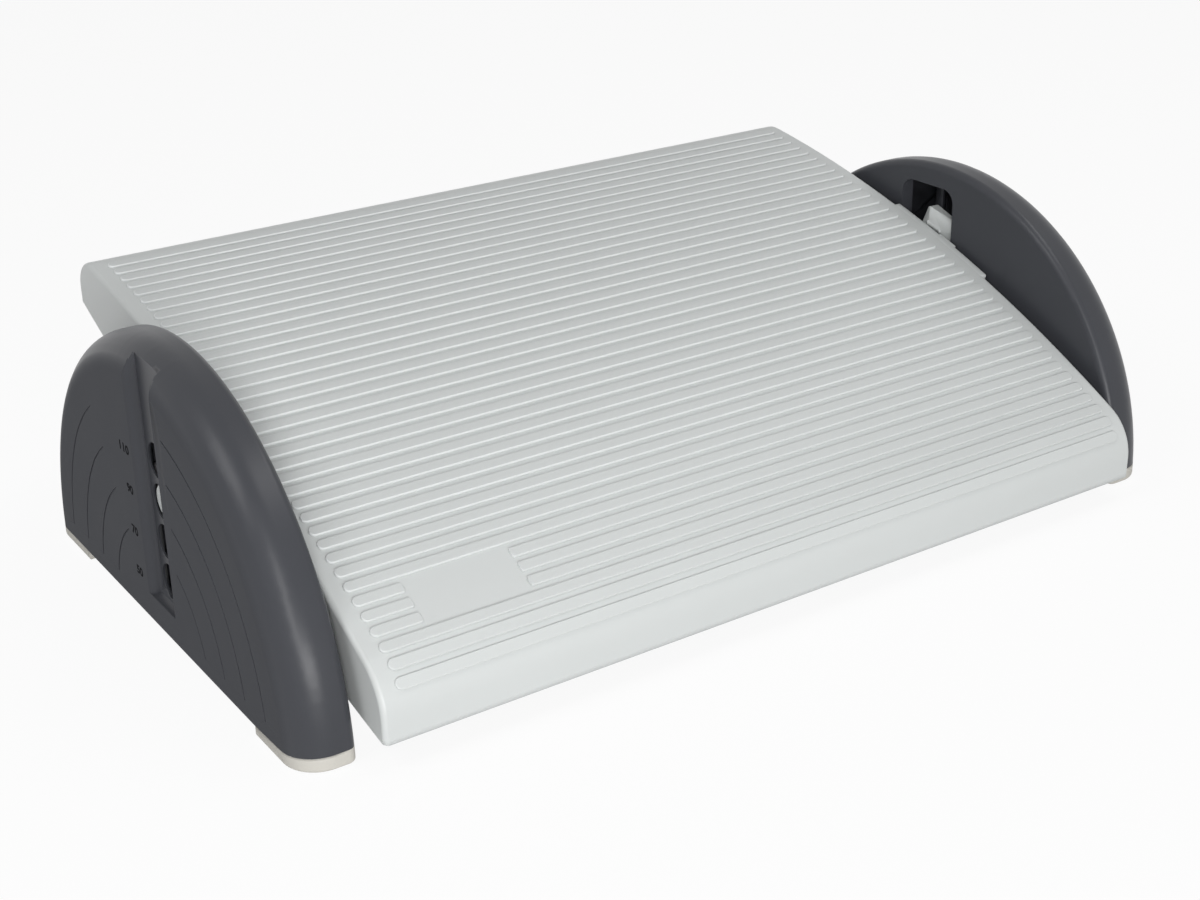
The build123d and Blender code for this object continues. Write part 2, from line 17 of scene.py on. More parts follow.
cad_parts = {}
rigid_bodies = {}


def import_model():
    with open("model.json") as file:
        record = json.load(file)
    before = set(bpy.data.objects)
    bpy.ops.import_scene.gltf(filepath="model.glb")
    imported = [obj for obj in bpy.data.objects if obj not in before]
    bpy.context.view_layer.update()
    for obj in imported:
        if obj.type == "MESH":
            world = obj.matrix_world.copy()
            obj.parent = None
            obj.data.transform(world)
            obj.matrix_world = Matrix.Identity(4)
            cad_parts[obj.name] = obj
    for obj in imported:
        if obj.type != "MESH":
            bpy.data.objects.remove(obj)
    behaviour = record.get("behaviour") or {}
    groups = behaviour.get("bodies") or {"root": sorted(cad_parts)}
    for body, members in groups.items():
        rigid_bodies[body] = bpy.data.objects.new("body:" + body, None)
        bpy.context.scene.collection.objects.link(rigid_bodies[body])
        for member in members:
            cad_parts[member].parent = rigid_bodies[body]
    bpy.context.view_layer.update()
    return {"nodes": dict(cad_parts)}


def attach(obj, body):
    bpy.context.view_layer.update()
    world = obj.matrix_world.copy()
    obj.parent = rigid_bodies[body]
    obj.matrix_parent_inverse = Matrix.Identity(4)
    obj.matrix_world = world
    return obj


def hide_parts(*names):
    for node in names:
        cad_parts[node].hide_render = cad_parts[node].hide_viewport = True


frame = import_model()

LOG = logging.getLogger("footrest")
MM = 0.001
# Name of the mesh mark on the ribs' rounded upper edges, where a paler colour is painted on as a highlight.
PAINTED_HIGHLIGHT_MARK = "worn_edge"
PANEL_FACE = 249.5 * MM
WHITE = (1.0, 1.0, 1.0, 1.0)

Colour = tuple[float, float, float]
Point2 = tuple[float, float]
Point3 = tuple[float, float, float]


class Side(Enum):
    """The two mirrored sides of the footrest, with the sign of their X."""

    LEFT = -1
    RIGHT = 1

    @property
    def word(self) -> str:
        """Prefix of this side's node names."""
        return self.name.lower()


class Flow:
    """A value socket of a node tree that Python's operators work on."""

    def __init__(self, tree: "Tree", socket: bpy.types.NodeSocket) -> None:
        """Wrap a socket.

        Args:
            tree: the tree that owns the socket.
            socket: the output socket to carry on.
        """
        self.tree = tree
        self.socket = socket

    def _math(self, operation: str, first: Any, second: Any) -> "Flow":
        """Add one Math node.

        Args:
            operation: the Math node's operation.
            first: its first value, a number or a flow.
            second: its second value, a number or a flow.

        Returns:
            The result as a flow.
        """
        made = self.tree.node("ShaderNodeMath", {"operation": operation}, {0: first, 1: second})
        return Flow(self.tree, made.outputs[0])

    def __add__(self, other: Any) -> "Flow":
        """Sum of this flow and another value."""
        return self._math("ADD", self, other)

    def __radd__(self, other: Any) -> "Flow":
        """Sum of a number and this flow."""
        return self._math("ADD", other, self)

    def __sub__(self, other: Any) -> "Flow":
        """This flow less another value."""
        return self._math("SUBTRACT", self, other)

    def __rsub__(self, other: Any) -> "Flow":
        """A number less this flow."""
        return self._math("SUBTRACT", other, self)

    def __mul__(self, other: Any) -> "Flow":
        """Product of this flow and another value."""
        return self._math("MULTIPLY", self, other)

    def __rmul__(self, other: Any) -> "Flow":
        """Product of a number and this flow."""
        return self._math("MULTIPLY", other, self)

    def maximum(self, other: Any) -> "Flow":
        """The larger of this flow and another value."""
        return self._math("MAXIMUM", self, other)


class Tree:
    """A node tree in the making, with one method that adds any node."""

    def __init__(self, tree: bpy.types.NodeTree) -> None:
        """Take over a tree and empty it.

        Args:
            tree: the node tree to fill.
        """
        self.tree = tree
        self.tree.nodes.clear()

    def node(
        self,
        kind: str,
        settings: Mapping[str, Any] | None = None,
        inputs: Mapping[Any, Any] | None = None,
    ) -> bpy.types.Node:
        """Add a node, set it up and fill its sockets.

        Args:
            kind: the node's type.
            settings: its properties by name, which are set first.
            inputs: a value, a socket or a flow for each input, by name or number.

        Returns:
            The new node.
        """
        made = self.tree.nodes.new(kind)
        for name, value in (settings or {}).items():
            setattr(made, name, value)
        for name, value in (inputs or {}).items():
            target = made.inputs[name]
            if isinstance(value, Flow):
                self.tree.links.new(value.socket, target)
            elif isinstance(value, bpy.types.NodeSocket):
                self.tree.links.new(value, target)
            else:
                target.default_value = value
        return made

    def flow(self, node: bpy.types.Node, output: Any = 0) -> Flow:
        """One output of a node as a flow."""
        return Flow(self, node.outputs[output])


class Recipe(Tree):
    """A material in the making, whose noise layers each have a share of the coarser one's strength."""

    layer_share = 0.55

    def __init__(self, name: str) -> None:
        """Start a new material.

        Args:
            name: the material's name.
        """
        self.material = bpy.data.materials.new(name)
        self.material.use_nodes = True
        super().__init__(self.material.node_tree)
        self.place = self.node("ShaderNodeTexCoord").outputs["Object"]

    def noise(self, size: float, detail: float = 2.0, stretch: float = 1.0) -> Flow:
        """Cloudy noise on object coordinates.

        Args:
            size: the size of one cloud, in metres.
            detail: how many finer layers it has.
            stretch: how many times longer the clouds are along X.

        Returns:
            A value from 0 to 1, about 0.5 on average.
        """
        scale = (1.0 / size / stretch, 1.0 / size, 1.0 / size)
        mapped = self.node("ShaderNodeMapping", None, {"Vector": self.place, "Scale": scale})
        made = self.node(
            "ShaderNodeTexNoise",
            {"noise_dimensions": "3D"},
            {"Vector": mapped.outputs[0], "Scale": 1.0, "Detail": detail, "Roughness": self.layer_share},
        )
        return self.flow(made)

    def mark(self, name: str) -> Flow:
        """A mark on the piece's own mesh, 0 where it has none."""
        return self.flow(self.node("ShaderNodeAttribute", {"attribute_name": name}), "Fac")

    def mix(self, share: Flow, low: Any, high: Any) -> bpy.types.NodeSocket:
        """Blend two colours.

        Args:
            share: how much of the second colour shows, from 0 to 1.
            low: the first colour, three numbers or a colour socket.
            high: the second colour, likewise.

        Returns:
            The colour socket.
        """
        first, second = (
            colour if isinstance(colour, bpy.types.NodeSocket) else (*colour, 1.0) for colour in (low, high)
        )
        made = self.node(
            "ShaderNodeMix", {"data_type": "RGBA", "clamp_factor": True}, {0: share, 6: first, 7: second}
        )
        return made.outputs[2]

    def surface(self, inputs: Mapping[str, Any]) -> bpy.types.Material:
        """Close the recipe with one principled surface.

        Args:
            inputs: the surface's sockets by name.

        Returns:
            The finished material.
        """
        shader = self.node("ShaderNodeBsdfPrincipled", None, inputs)
        self.node("ShaderNodeOutputMaterial", None, {"Surface": shader.outputs[0]})
        return self.material


@dataclass(frozen=True)
class MouldedFinish:
    """Injection-moulded plastic with a fine eroded grain."""

    name: str
    slot: str
    colour: Colour
    roughness: float
    grain_size: float
    grain_depth: float
    mottle: float
    cloud_size: float
    specular: float = 0.5
    matt_gain: float = 0.0
    matt_blend: float = 2.5 * MM
    # Paler colour painted on marked edges as a highlight; None paints none.
    worn_edge: Colour | None = None
    cloud_share: float = 0.7
    grain_share: float = 0.3
    cloud_gloss: float = 0.10
    grain_gloss: float = 0.06
    grain_strength: float = 0.35

    def gloss(self, recipe: Recipe, clouds: Flow, grain: Flow) -> Flow:
        """Roughness that drifts with the clouds and the grain.

        Args:
            recipe: the material in the making.
            clouds: its wide noise.
            grain: its fine noise.

        Returns:
            The roughness, which is higher on the flat outer faces where they are matt.
        """
        average = (self.cloud_gloss + self.grain_gloss) / 2
        rough = clouds * self.cloud_gloss + grain * self.grain_gloss + (self.roughness - average)
        if not self.matt_gain:
            return rough
        across = recipe.flow(recipe.node("ShaderNodeSeparateXYZ", None, {0: recipe.place}))
        outward = across.maximum(across * -1.0) - (PANEL_FACE - self.matt_blend)
        return rough + (outward * (1.0 / self.matt_blend)).maximum(0.0) * self.matt_gain

    def make(self) -> bpy.types.Material:
        """Build the material.

        Returns:
            Plastic whose colour and gloss drift a little, with a grain in its normals.
        """
        recipe = Recipe(self.name)
        clouds = recipe.noise(self.cloud_size, 3.0)
        grain = recipe.noise(self.grain_size, 2.0)
        share = clouds * self.cloud_share + grain * self.grain_share
        low = tuple(part * (1.0 - self.mottle) for part in self.colour)
        high = tuple(part * (1.0 + self.mottle) for part in self.colour)
        body = recipe.mix(share, low, high)
        # Painted highlight: the paler colour shows where the mesh marks an edge.
        if self.worn_edge is not None:
            body = recipe.mix(recipe.mark(PAINTED_HIGHLIGHT_MARK), body, self.worn_edge)
        bump = recipe.node(
            "ShaderNodeBump",
            None,
            {"Strength": self.grain_strength, "Distance": self.grain_depth, "Height": grain},
        )
        return recipe.surface(
            {
                "Base Color": body,
                "Roughness": self.gloss(recipe, clouds, grain),
                "Normal": bump.outputs[0],
                "Specular IOR Level": self.specular,
            }
        )


@dataclass(frozen=True)
class SteelFinish:
    """Plated or drawn steel with fine lines along X."""

    name: str
    slot: str
    colour: Colour
    roughness: float
    line_size: float
    line_stretch: float = 12.0
    line_gloss: float = 0.2
    line_strength: float = 0.2
    line_depth: float = 0.02 * MM
    cloud_size: float = 4 * MM
    cloud_shade: float = 0.85

    def make(self) -> bpy.types.Material:
        """Build the material.

        Returns:
            Metal whose gloss varies along its drawing lines.
        """
        recipe = Recipe(self.name)
        lines = recipe.noise(self.line_size, stretch=self.line_stretch)
        clouds = recipe.noise(self.cloud_size)
        low = tuple(part * self.cloud_shade for part in self.colour)
        bump = recipe.node(
            "ShaderNodeBump",
            None,
            {"Strength": self.line_strength, "Distance": self.line_depth, "Height": lines},
        )
        return recipe.surface(
            {
                "Base Color": recipe.mix(clouds, low, self.colour),
                "Metallic": 1.0,
                "Roughness": lines * self.line_gloss + (self.roughness - self.line_gloss / 2),
                "Normal": bump.outputs[0],
            }
        )


@dataclass(frozen=True)
class PrintFinish:
    """Matt ink of the height numbers, worn thin in places."""

    name: str
    slot: str
    colour: Colour
    under: Colour
    wear_size: float = 0.6 * MM
    wear_start: float = 0.58
    wear_gain: float = 3.0
    roughness: float = 0.6
    wear_gloss: float = 0.2
    specular: float = 0.02

    def make(self) -> bpy.types.Material:
        """Build the material.

        Returns:
            Dark ink that lets a little of the panel through.
        """
        recipe = Recipe(self.name)
        wear = recipe.noise(self.wear_size, 3.0)
        share = (wear - self.wear_start).maximum(0.0) * self.wear_gain
        return recipe.surface(
            {
                "Base Color": recipe.mix(share, self.colour, self.under),
                "Roughness": wear * self.wear_gloss + self.roughness,
                "Specular IOR Level": self.specular,
            }
        )


class Paint(Enum):
    """Every finish on the footrest."""

    TREAD = MouldedFinish(
        "pale_moulding", "pale_moulding", (0.545, 0.565, 0.56), 0.42, 0.45 * MM, 0.03 * MM, 0.03, 60 * MM,
        # The paler rib-edge colour is a painted highlight.
        worn_edge=(0.68, 0.70, 0.70),
    )
    PANEL = MouldedFinish(
        "anthracite_moulding", "dark_panel", (0.045, 0.047, 0.054), 0.33, 0.5 * MM, 0.03 * MM, 0.08, 35 * MM,
        specular=0.22, matt_gain=0.42,
    )
    FOOT = MouldedFinish(
        "foot_rubber", "foot_pad", (0.50, 0.485, 0.445), 0.62, 0.7 * MM, 0.04 * MM, 0.04, 12 * MM,
        specular=0.3,
    )
    INNER = MouldedFinish(
        "grey_moulding", "grey_moulding", (0.2, 0.2, 0.21), 0.45, 0.5 * MM, 0.03 * MM, 0.05, 15 * MM
    )
    SCREW = SteelFinish("zinc_plate", "zinc_screw", (0.62, 0.62, 0.6), 0.34, 0.3 * MM)
    SPRING = SteelFinish("spring_wire", "spring_steel", (0.5, 0.5, 0.52), 0.3, 0.25 * MM)
    NUMBER = PrintFinish("number_ink", "dark_panel", (0.004, 0.004, 0.005), (0.03, 0.03, 0.034))


class PaintShop:
    """Makes each finish once and hands it out."""

    def __init__(self) -> None:
        """Start with an empty shelf."""
        self._made: dict[Paint, bpy.types.Material] = {}

    def get(self, paint: Paint) -> bpy.types.Material:
        """Hand out a finish, made on first use.

        Args:
            paint: the finish.

        Returns:
            Its material.
        """
        if paint not in self._made:
            self._made[paint] = paint.value.make()
        return self._made[paint]


@dataclass
class Form:
    """Points and faces of a mesh in the making."""

    points: list[Vector] = field(default_factory=list)
    faces: list[list[int]] = field(default_factory=list)

    def row(self, points: Sequence[Sequence[float]]) -> list[int]:
        """Add points.

        Args:
            points: places in metres.

        Returns:
            The numbers of the new points.
        """
        start = len(self.points)
        self.points.extend(Vector(point) for point in points)
        return list(range(start, len(self.points)))

    def strip(self, first: Sequence[int], second: Sequence[int], closed: bool = False) -> None:
        """Join two rows of equal length with four-sided faces.

        Args:
            first: point numbers of one row.
            second: point numbers of the other row.
            closed: whether the last points join the first ones.
        """
        count = len(first)
        for place in range(count if closed else count - 1):
            after = (place + 1) % count
            self.faces.append([first[place], first[after], second[after], second[place]])

    def face(self, ring: Sequence[int]) -> None:
        """Close a ring of points with one face."""
        self.faces.append(list(ring))

    def mesh(self, name: str) -> bpy.types.Mesh:
        """Turn the form into a mesh whose faces point outwards.

        Args:
            name: the mesh's name.

        Returns:
            A new mesh with doubles merged.
        """
        made = bpy.data.meshes.new(name)
        made.from_pydata([tuple(point) for point in self.points], [], self.faces)
        Workshop.tidy(made)
        return made


class Workshop:
    """Steps shared by all pieces."""

    merge_distance = 0.002 * MM
    face_weight = 50
    round_segments = 3

    @staticmethod
    def tidy(mesh: bpy.types.Mesh, recalculate: bool = True) -> None:
        """Merge doubles and point faces outwards.

        Args:
            mesh: the mesh to tidy.
            recalculate: whether the faces' directions are worked out anew.
        """
        work = bmesh.new()
        work.from_mesh(mesh)
        bmesh.ops.remove_doubles(work, verts=work.verts, dist=Workshop.merge_distance)
        if recalculate:
            bmesh.ops.recalc_face_normals(work, faces=work.faces)
        work.to_mesh(mesh)
        work.free()
        mesh.update()

    @staticmethod
    def soften(mesh: bpy.types.Mesh, degrees: float) -> None:
        """Shade a mesh smooth, with edges sharper than an angle kept crisp."""
        mesh.shade_smooth()
        mesh.set_sharp_from_angle(angle=math.radians(degrees))

    @staticmethod
    def stand(name: str, mesh: bpy.types.Mesh) -> bpy.types.Object:
        """Put a mesh into the scene.

        Args:
            name: the object's name.
            mesh: its mesh.

        Returns:
            The new object at the origin.
        """
        made = bpy.data.objects.new(name, mesh)
        bpy.context.scene.collection.objects.link(made)
        return made

    @staticmethod
    def settle(piece: bpy.types.Object) -> None:
        """Turn a piece and its modifiers into a plain mesh.

        Args:
            piece: the piece, which keeps its name and loses its modifiers.
        """
        graph = bpy.context.evaluated_depsgraph_get()
        graph.update()
        mesh = bpy.data.meshes.new_from_object(piece.evaluated_get(graph))
        piece.modifiers.clear()
        piece.data = mesh

    @staticmethod
    def even_normals(piece: bpy.types.Object) -> None:
        """Let large flat faces keep flat shading beside their rounds.

        Args:
            piece: the piece, which is settled afterwards.
        """
        weighted = piece.modifiers.new("even normals", "WEIGHTED_NORMAL")
        weighted.keep_sharp = True
        weighted.weight = Workshop.face_weight

    @staticmethod
    def round_edges(piece: bpy.types.Object, width: float, degrees: float = 35.0) -> None:
        """Round a piece's sharp edges.

        Args:
            piece: the piece.
            width: the round's width in metres.
            degrees: only edges sharper than this are rounded.
        """
        bevel = piece.modifiers.new("round edges", "BEVEL")
        bevel.width = width
        bevel.segments = Workshop.round_segments
        bevel.limit_method = "ANGLE"
        bevel.angle_limit = math.radians(degrees)
        bevel.harden_normals = False

    @staticmethod
    def dress(piece: bpy.types.Object, body: str, material: bpy.types.Material, slot: str) -> None:
        """Give a piece its finish and the body that it moves with.

        Args:
            piece: the finished piece.
            body: the body's name.
            material: its material.
            slot: the record's material slot; not used.
        """
        piece.data.materials.clear()
        piece.data.materials.append(material)
        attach(piece, body)
        LOG.info("%s rides on %s in %s", piece.name, body, material.name)


@dataclass
class CarriedPiece:
    """A piece whose solid is right as it is: a smooth-shaded copy stands for it."""

    node: str
    body: str
    paint: Paint
    crisp_angle: float = 28.0

    def build(self, shop: PaintShop) -> bpy.types.Object:
        """Copy the node's mesh, merge it and dress it.

        Args:
            shop: where the finish comes from.

        Returns:
            The dressed copy.
        """
        mesh = frame["nodes"][self.node].data.copy()
        Workshop.tidy(mesh, recalculate=False)
        Workshop.soften(mesh, self.crisp_angle)
        piece = Workshop.stand(f"{self.node}_skin", mesh)
        Workshop.even_normals(piece)
        Workshop.settle(piece)
        Workshop.dress(piece, self.body, shop.get(self.paint), self.paint.value.slot)
        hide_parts(self.node)
        return piece


class RibTree(Tree):
    """Geometry nodes that set round-ended ribs along the tread's line."""

    def __init__(self) -> None:
        """Build the tree with its named inputs."""
        group = bpy.data.node_groups.new("tread ribs", "GeometryNodeTree")
        face = group.interface
        face.new_socket("Geometry", in_out="INPUT", socket_type="NodeSocketGeometry")
        self.ids = {
            name: face.new_socket(name, in_out="INPUT", socket_type=kind).identifier
            for name, kind in (
                ("Rib", "NodeSocketObject"),
                ("Count", "NodeSocketInt"),
                ("Pad First", "NodeSocketInt"),
                ("Pad Last", "NodeSocketInt"),
                ("Beside Pad", "NodeSocketBool"),
                ("Finish", "NodeSocketMaterial"),
            )
        }
        face.new_socket("Geometry", in_out="OUTPUT", socket_type="NodeSocketGeometry")
        super().__init__(group)
        self._fill()

    def _fill(self) -> None:
        """Add the nodes: points along the line, turned to the surface, with a rib on each."""
        given = self.node("NodeGroupInput")
        line = self.node("GeometryNodeMeshToCurve", None, {0: given.outputs["Geometry"]})
        spots = self.node(
            "GeometryNodeCurveToPoints",
            {"mode": "COUNT"},
            {0: line.outputs[0], "Count": given.outputs["Count"]},
        )
        upward = self.node(
            "ShaderNodeVectorMath",
            {"operation": "CROSS_PRODUCT"},
            {0: spots.outputs["Tangent"], 1: (1.0, 0.0, 0.0)},
        )
        turn = self.node(
            "FunctionNodeAlignRotationToVector",
            {"axis": "Z", "pivot_axis": "X"},
            {"Vector": upward.outputs[0]},
        )
        number = self.node("GeometryNodeInputIndex").outputs[0]
        after = self.node(
            "FunctionNodeCompare",
            {"data_type": "INT", "operation": "GREATER_EQUAL"},
            {2: number, 3: given.outputs["Pad First"]},
        )
        before = self.node(
            "FunctionNodeCompare",
            {"data_type": "INT", "operation": "LESS_EQUAL"},
            {2: number, 3: given.outputs["Pad Last"]},
        )
        beside = self.node(
            "FunctionNodeBooleanMath", {"operation": "AND"}, {0: after.outputs[0], 1: before.outputs[0]}
        )
        chosen = self.node(
            "FunctionNodeBooleanMath",
            {"operation": "XNOR"},
            {0: beside.outputs[0], 1: given.outputs["Beside Pad"]},
        )
        rib = self.node(
            "GeometryNodeObjectInfo", None, {"Object": given.outputs["Rib"], "As Instance": True}
        )
        placed = self.node(
            "GeometryNodeInstanceOnPoints",
            None,
            {
                "Points": spots.outputs["Points"],
                "Selection": chosen.outputs[0],
                "Instance": rib.outputs["Geometry"],
                "Rotation": turn.outputs[0],
            },
        )
        real = self.node("GeometryNodeRealizeInstances", None, {0: placed.outputs[0]})
        painted = self.node(
            "GeometryNodeSetMaterial",
            None,
            {"Geometry": real.outputs[0], "Material": given.outputs["Finish"]},
        )
        self.node("NodeGroupOutput", None, {0: painted.outputs[0]})

    def grow(self, host: bpy.types.Object, values: Mapping[str, Any]) -> None:
        """Run the tree on a host object and keep the result as its mesh.

        Args:
            host: an object whose mesh is the line to follow.
            values: the tree's inputs by name.
        """
        modifier = host.modifiers.new("ribs", "NODES")
        modifier.node_group = self.tree
        for name, value in values.items():
            modifier[self.ids[name]] = value
        Workshop.settle(host)


@dataclass
class TreadPlate:
    """The crowned tread with its skirt, ribs, side lugs and webs, as it stands at rest."""

    half_width: float = 218.0 * MM
    reach: float = 154.5 * MM
    tilt: float = math.radians(18.5)
    rise: float = 34.0 * MM
    crown: float = 830.0 * MM
    nose: float = 27.0 * MM
    rear: float = 16.0 * MM
    edge: float = 2.5 * MM
    front_wall: float = 10.4 * MM
    rear_wall: float = 6.25 * MM
    mid_drop: float = 15.5 * MM
    wall: float = 2.4 * MM
    pivot: Point2 = (-1.5 * MM, 70.0 * MM)
    rib_pitch: float = 8.165 * MM
    rib_shift: float = 1.0 * MM
    rib_width: float = 5.3 * MM
    rib_height: float = 1.0 * MM
    rib_round: float = 0.55 * MM
    rib_margin: float = 8.2 * MM
    rib_foot: float = 0.5 * MM
    rib_blunting: float = 0.35
    rib_round_steps: int = 5
    rib_end_steps: int = 12
    rib_path_steps: int = 12
    ribs_to_rear: int = 18
    ribs_to_front: int = 19
    # Painted highlight on the ribs' rounded upper edges, fading towards the nose.
    wear_front: float = -172.0 * MM
    wear_length: float = 90.0 * MM
    least_wear: float = 0.15
    wear_slack: float = 0.01 * MM
    pad_ribs: tuple[int, int] = (-16, -14)
    pad_centre: float = -160.0 * MM
    pad_length: float = 52.0 * MM
    lug_half: float = 37.75 * MM
    lug_offset: float = 5.75 * MM
    lug_proud: float = 2.2 * MM
    lug_inset: float = 0.03 * MM
    lug_round: float = 0.7 * MM
    lug_steps: int = 24
    lug_tries: int = 8
    shelf_proud: float = 1.8 * MM
    shelf_drop: float = 0.3 * MM
    shelf_root: float = 1.0 * MM
    shelf_length: float = 13.0 * MM
    shelf_offset: float = 2.5 * MM
    shelf_thickness: float = 4.0 * MM
    web: float = 2.0 * MM
    web_depth: float = 13.0 * MM
    web_root: float = 0.3 * MM
    web_places: tuple[float, ...] = (-142 * MM, -71 * MM, 0.0, 71 * MM, 142 * MM)
    cross_places: tuple[float, ...] = (-121.5 * MM, -59.5 * MM, 64.5 * MM, 126.5 * MM)
    middle_cross: float = 2.5 * MM
    short_cross: float = 168.0 * MM
    least_round: float = 1.0 * MM
    wall_steps: int = 4
    nose_steps: int = 16
    crown_steps: int = 90
    rear_steps: int = 12
    edge_steps: int = 6
    skirt_steps: int = 40
    shell_crisp: float = 40.0
    rib_crisp: float = 50.0
    web_crisp: float = 30.0

    @property
    def centre(self) -> Point2:
        """Centre of the crown in the side view."""
        above = self.rise - self.crown
        return (self.pivot[0] - above * math.sin(self.tilt), self.pivot[1] + above * math.cos(self.tilt))

    def in_plate(self, along: float, above: float) -> Point2:
        """Find a side-view point from distances on the plate's slope.

        Args:
            along: metres along the slope from the pivot, positive to the rear.
            above: metres above the slope through the pivot.

        Returns:
            The side-view point.
        """
        cosine, sine = math.cos(self.tilt), math.sin(self.tilt)
        return (
            self.pivot[0] + along * cosine - above * sine,
            self.pivot[1] + along * sine + above * cosine,
        )

    def round_centre(self, radius: float, inset: float, side: int) -> Point2:
        """Centre of the round at the front (side -1) or the rear (side 1).

        Args:
            radius: the round's radius.
            inset: how far the line is set in from the plate's outside.
            side: which end of the plate.

        Returns:
            The centre in the side view.
        """
        y = side * (self.reach - inset - radius)
        size = self.crown - inset - radius
        return (y, self.centre[1] + math.sqrt(size**2 - (y - self.centre[0]) ** 2))

    def line(self, inset: float) -> list[Point2]:
        """Outline from the foot of the front wall over the crown to the foot of the rear wall.

        Args:
            inset: how far it is set in from the plate's outside.

        Returns:
            Side-view points, as many for every inset.
        """
        nose = max(self.nose - inset, self.least_round)
        rear = max(self.rear - inset, self.least_round)
        crown = self.crown - inset
        front_y = -(self.reach - inset)
        nose_at = self.round_centre(nose, inset, -1)
        rear_at = self.round_centre(rear, inset, 1)
        nose_lean = math.atan2(nose_at[1] - self.centre[1], nose_at[0] - self.centre[0])
        rear_lean = math.atan2(rear_at[1] - self.centre[1], rear_at[0] - self.centre[0])
        front_foot = (front_y, self.skirt_level(front_y))
        rear_foot = (-front_y, self.skirt_level(-front_y))
        points = self._run(front_foot, (front_y, nose_at[1]), self.wall_steps)
        points += self._arc(nose_at, nose, math.pi, nose_lean, self.nose_steps)
        points += self._arc(self.centre, crown, nose_lean, rear_lean, self.crown_steps)
        points += self._arc(rear_at, rear, rear_lean, 0.0, self.rear_steps)
        points += self._run((-front_y, rear_at[1]), rear_foot, self.wall_steps)
        points.append(rear_foot)
        return points

    @staticmethod
    def _run(start: Point2, end: Point2, count: int) -> list[Point2]:
        """Points of a straight run, without its end."""
        steps = (step / count for step in range(count))
        return [(start[0] + (end[0] - start[0]) * s, start[1] + (end[1] - start[1]) * s) for s in steps]

    @staticmethod
    def _arc(centre: Point2, radius: float, start: float, end: float, count: int) -> list[Point2]:
        """Points of an arc, without its end."""
        angles = (start + (end - start) * step / count for step in range(count))
        return [(centre[0] + radius * math.cos(a), centre[1] + radius * math.sin(a)) for a in angles]

    def skirt_level(self, y: float) -> float:
        """Height of the bowed lower edge of the skirt.

        Args:
            y: the place along the plate, from its front to its rear.

        Returns:
            The height in metres.
        """
        nose_at = self.round_centre(self.nose, 0.0, -1)
        rear_at = self.round_centre(self.rear, 0.0, 1)
        front = (-self.reach, nose_at[1] - self.front_wall)
        back = (self.reach, rear_at[1] - self.rear_wall)
        middle = self.in_plate(0.0, -self.mid_drop)
        share = 0.0
        for first, second, third in ((front, middle, back), (middle, front, back), (back, front, middle)):
            weight = (y - second[0]) * (y - third[0]) / ((first[0] - second[0]) * (first[0] - third[0]))
            share += weight * first[1]
        return share

    def on_tread(self, distance: float) -> Point2:
        """Point on the tread's surface, counted along it from above the pivot.

        Args:
            distance: metres along the surface, positive to the rear.

        Returns:
            The side-view point.
        """
        nose_at = self.round_centre(self.nose, 0.0, -1)
        lean = math.atan2(nose_at[1] - self.centre[1], nose_at[0] - self.centre[0])
        nose_start = self.crown * (math.pi / 2 + self.tilt - lean)
        if distance >= nose_start:
            angle = math.pi / 2 + self.tilt - distance / self.crown
            return (
                self.centre[0] + self.crown * math.cos(angle),
                self.centre[1] + self.crown * math.sin(angle),
            )
        angle = lean + (nose_start - distance) / self.nose
        return (nose_at[0] + self.nose * math.cos(angle), nose_at[1] + self.nose * math.sin(angle))

    def shell(self) -> bpy.types.Object:
        """Outer skin with rounded side edges and flat side walls, thickened inwards.

        Returns:
            The shell as a plain mesh.
        """
        form = Form()
        angles = [step / self.edge_steps * math.pi / 2 for step in range(self.edge_steps + 1)]
        right = [
            (self.half_width - self.edge * (1 - math.sin(a)), self.edge * (1 - math.cos(a))) for a in angles
        ]
        stations = [(-x, inset) for x, inset in reversed(right)] + right
        rows = [form.row([(x, y, z) for y, z in self.line(inset)]) for x, inset in stations]
        for first, second in zip(rows, rows[1:]):
            form.strip(first, second)
        rear_y = self.reach - self.edge
        places = [rear_y - 2 * rear_y * step / self.skirt_steps for step in range(1, self.skirt_steps)]
        for row, side in ((rows[0], Side.LEFT), (rows[-1], Side.RIGHT)):
            lower = form.row([(side.value * self.half_width, y, self.skirt_level(y)) for y in places])
            form.face(row + lower)
        piece = Workshop.stand("tread_shell", form.mesh("tread_shell"))
        Workshop.soften(piece.data, self.shell_crisp)
        solid = piece.modifiers.new("wall", "SOLIDIFY")
        solid.thickness = self.wall
        solid.offset = -1.0
        solid.use_even_offset = True
        Workshop.even_normals(piece)
        Workshop.settle(piece)
        return piece

    def rib_bar(self, low_x: float, high_x: float, blunt: Sequence[Side] = ()) -> Form:
        """One rib on a flat ground, with round ends and a rounded top.

        Args:
            low_x: its left end.
            high_x: its right end.
            blunt: the ends that are cut nearly square instead of round.

        Returns:
            The rib's form, with its foot sunk a little.
        """
        form = Form()
        half = self.rib_width / 2
        sections = [(0.0, -self.rib_foot), (0.0, self.rib_height - self.rib_round)]
        for step in range(1, self.rib_round_steps + 1):
            angle = step / self.rib_round_steps * math.pi / 2
            inset = self.rib_round * (1 - math.cos(angle))
            sections.append((inset, self.rib_height - self.rib_round * (1 - math.sin(angle))))
        rings = []
        for inset, height in sections:
            radius = half - inset
            ring = []
            for side, end_x in ((Side.RIGHT, high_x - half), (Side.LEFT, low_x + half)):
                stretch = self.rib_blunting if side in blunt else 1.0
                shift = (1.0 - stretch) * half
                for step in range(self.rib_end_steps + 1):
                    angle = -math.pi / 2 + step / self.rib_end_steps * math.pi
                    x = end_x + side.value * (radius * math.cos(angle) * stretch + shift)
                    ring.append((x, side.value * radius * math.sin(angle), height))
            rings.append(form.row(ring))
        for first, second in zip(rings, rings[1:]):
            form.strip(first, second, closed=True)
        form.face(rings[-1])
        return form

